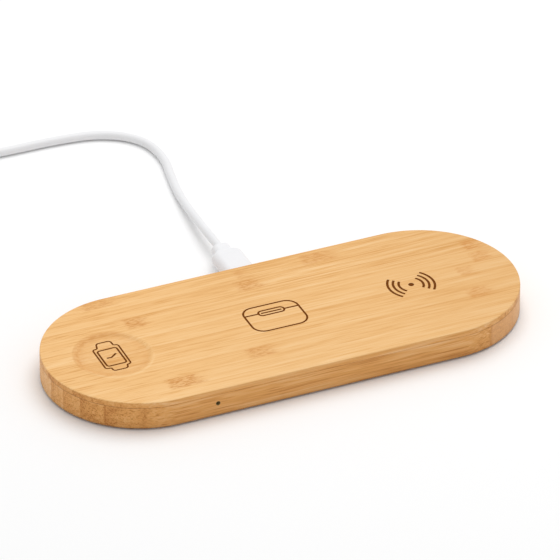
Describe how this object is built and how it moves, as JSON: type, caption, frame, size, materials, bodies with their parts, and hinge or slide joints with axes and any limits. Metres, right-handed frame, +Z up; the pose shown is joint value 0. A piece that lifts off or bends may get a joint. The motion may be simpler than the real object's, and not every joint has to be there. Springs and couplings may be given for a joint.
{
  "type": "wireless charging pad",
  "caption": "Flat bamboo wireless charging pad with rounded ends, a shallow watch dish, earbud and phone places and a white lead plugged into its rear edge.",
  "frame": {"origin": "on the surface, under the middle of the pad", "axes": "+X along the pad towards the phone's place, +Y towards the rear edge with the socket, +Z up"},
  "size_m": [0.2468, 0.2397, 0.014],
  "materials": {
    "bamboo_top": "satin",
    "bamboo_frame": "satin",
    "cover_plastic": "matte",
    "screw_steel": "satin",
    "foot_rubber": "matte",
    "board_laminate": "satin",
    "chip_resin": "matte",
    "ferrite": "matte",
    "capacitor_ceramic": "satin",
    "lamp_resin": "gloss",
    "pipe_resin": "gloss",
    "shell_steel": "satin",
    "contact_resin": "matte",
    "copper_wire": "satin",
    "tape_film": "satin",
    "magnet_nickel": "polished",
    "white_mould": "satin",
    "cord_jacket": "satin",
    "tie_rubber": "matte"
  },
  "bodies": {
    "station": {"top_panel": "bamboo_top", "body_frame": "bamboo_frame", "bottom_cover": "cover_plastic", "cover_screws": "screw_steel", "rubber_feet": "foot_rubber", "main_board": "board_laminate", "board_screws": "screw_steel", "driver_chips": "chip_resin", "board_inductors": "ferrite", "tuning_capacitors": "capacitor_ceramic", "status_led": "lamp_resin", "light_pipe": "pipe_resin", "socket_shell": "shell_steel", "socket_tongue": "contact_resin", "phone_coil": "copper_wire", "phone_ferrite": "ferrite", "earbud_coil": "copper_wire", "earbud_ferrite": "ferrite", "watch_coil": "copper_wire", "watch_ferrite": "ferrite", "coil_tape": "tape_film", "watch_magnet": "magnet_nickel", "coil_leads": "copper_wire"},
    "lead": {"plug_shell": "shell_steel", "plug_insert": "contact_resin", "plug_grip": "white_mould", "cord_run": "cord_jacket", "cord_coil": "cord_jacket", "cord_tail": "cord_jacket", "cord_tie": "tie_rubber", "supply_grip": "white_mould", "supply_shell": "shell_steel", "supply_tongue": "white_mould"}
  },
  "joints": [
    {"name": "plug_pull", "type": "slide", "parent": "station", "child": "lead", "axis": [0, 1, 0], "range_m": [0, 0.012]}
  ]
}
